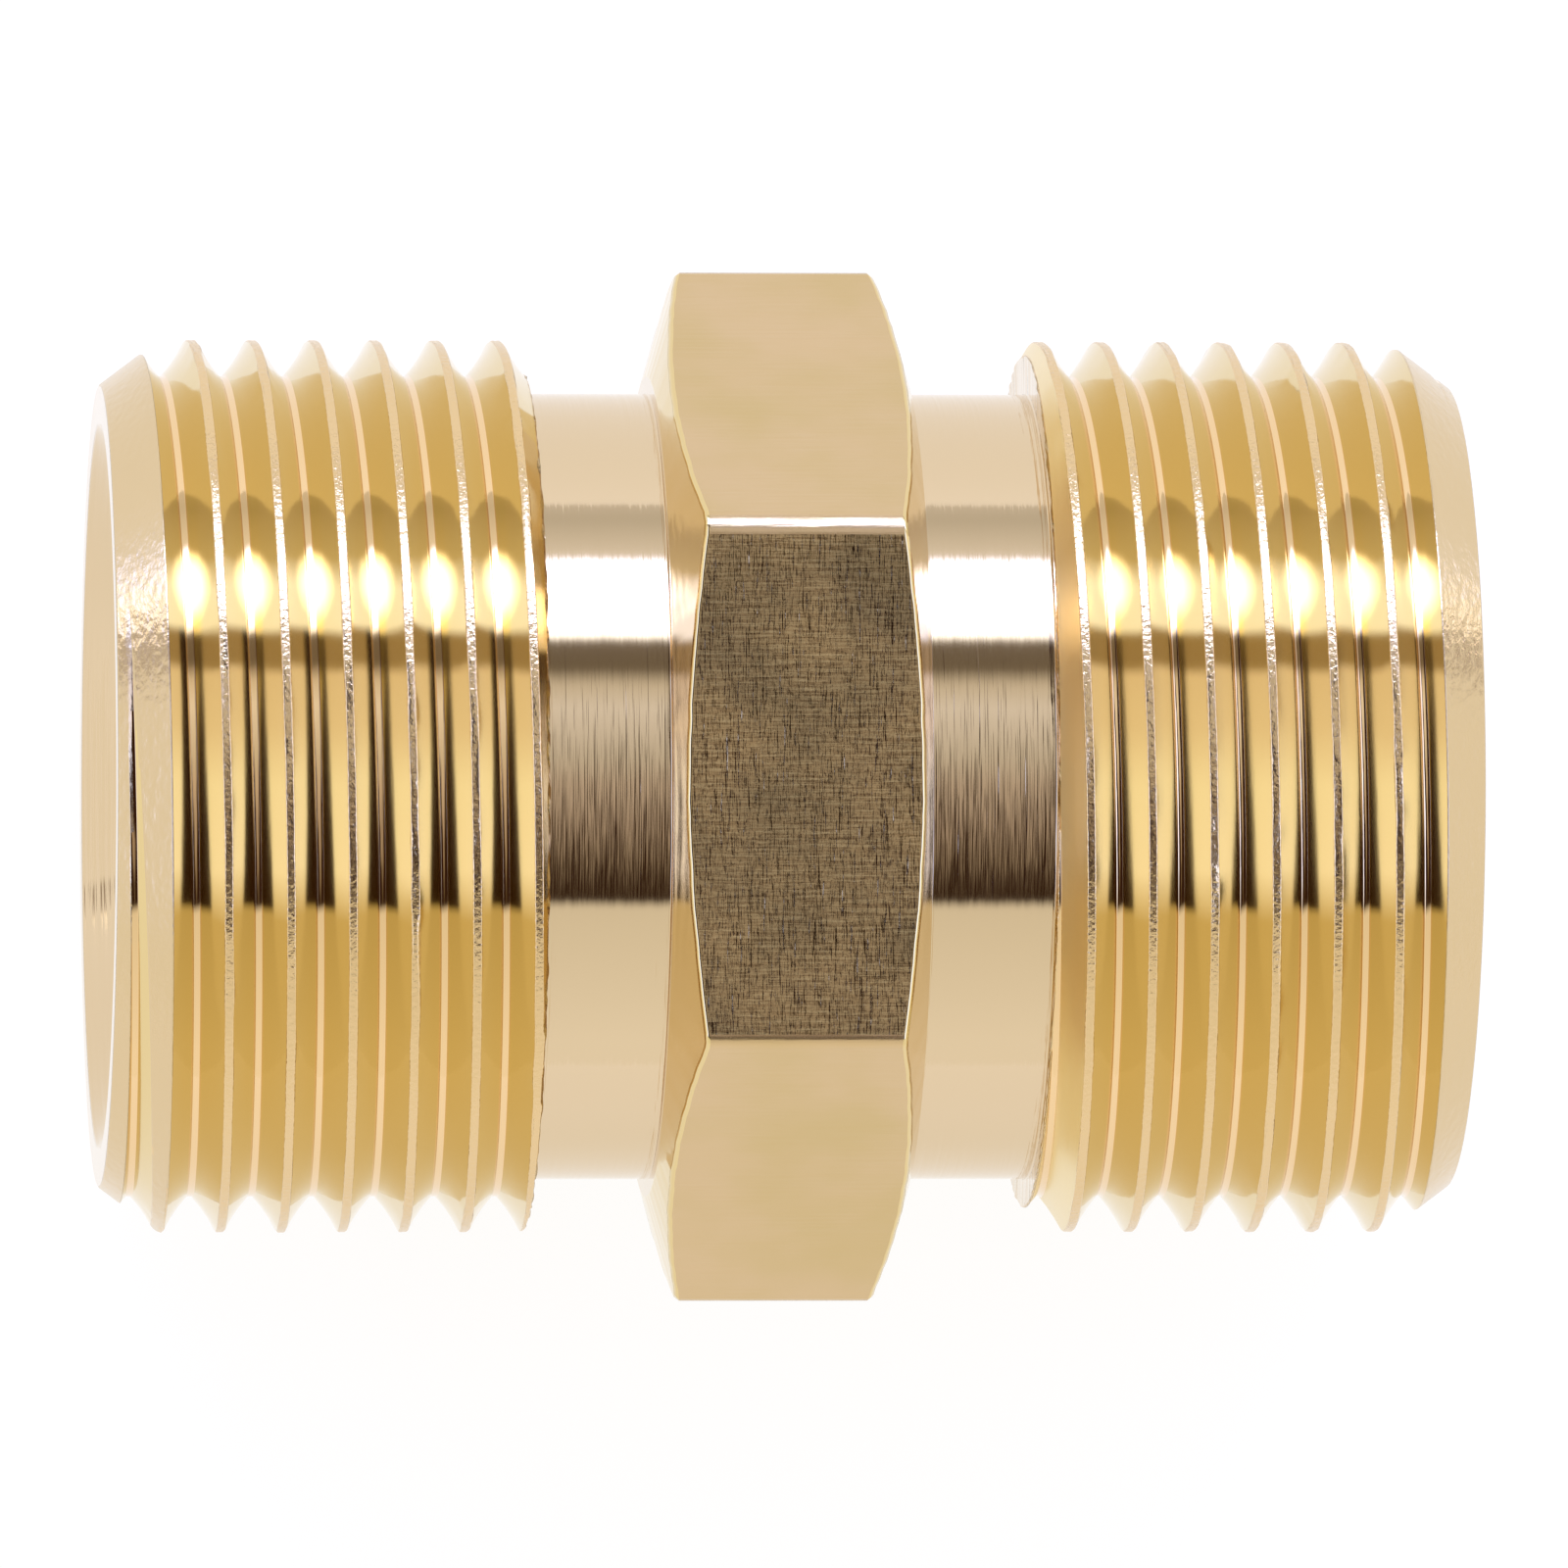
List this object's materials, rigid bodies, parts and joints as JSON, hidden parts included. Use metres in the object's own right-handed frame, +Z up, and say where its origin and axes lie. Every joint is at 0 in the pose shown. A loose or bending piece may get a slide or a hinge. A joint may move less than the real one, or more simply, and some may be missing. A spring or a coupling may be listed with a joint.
{
  "type": "hex nipple",
  "caption": "Straight brass hex nipple that joins female-threaded fittings: fine male thread on both ends, spanner hexagon between plain necks, chamfered through bore.",
  "frame": {"origin": "middle of the part, on the axis of the bore", "axes": "+X along the bore, +Z up through the middle of a hexagon flat, +Y through a hexagon corner; the part lies on the opposite flat"},
  "size_m": [0.0332, 0.0254, 0.022],
  "materials": {
    "brass": "bright as machined, turned necks and chamfers, drawn hexagon flats with fine scratches"
  },
  "bodies": {
    "root": {"nipple_body": "brass"}
  },
  "joints": []
}
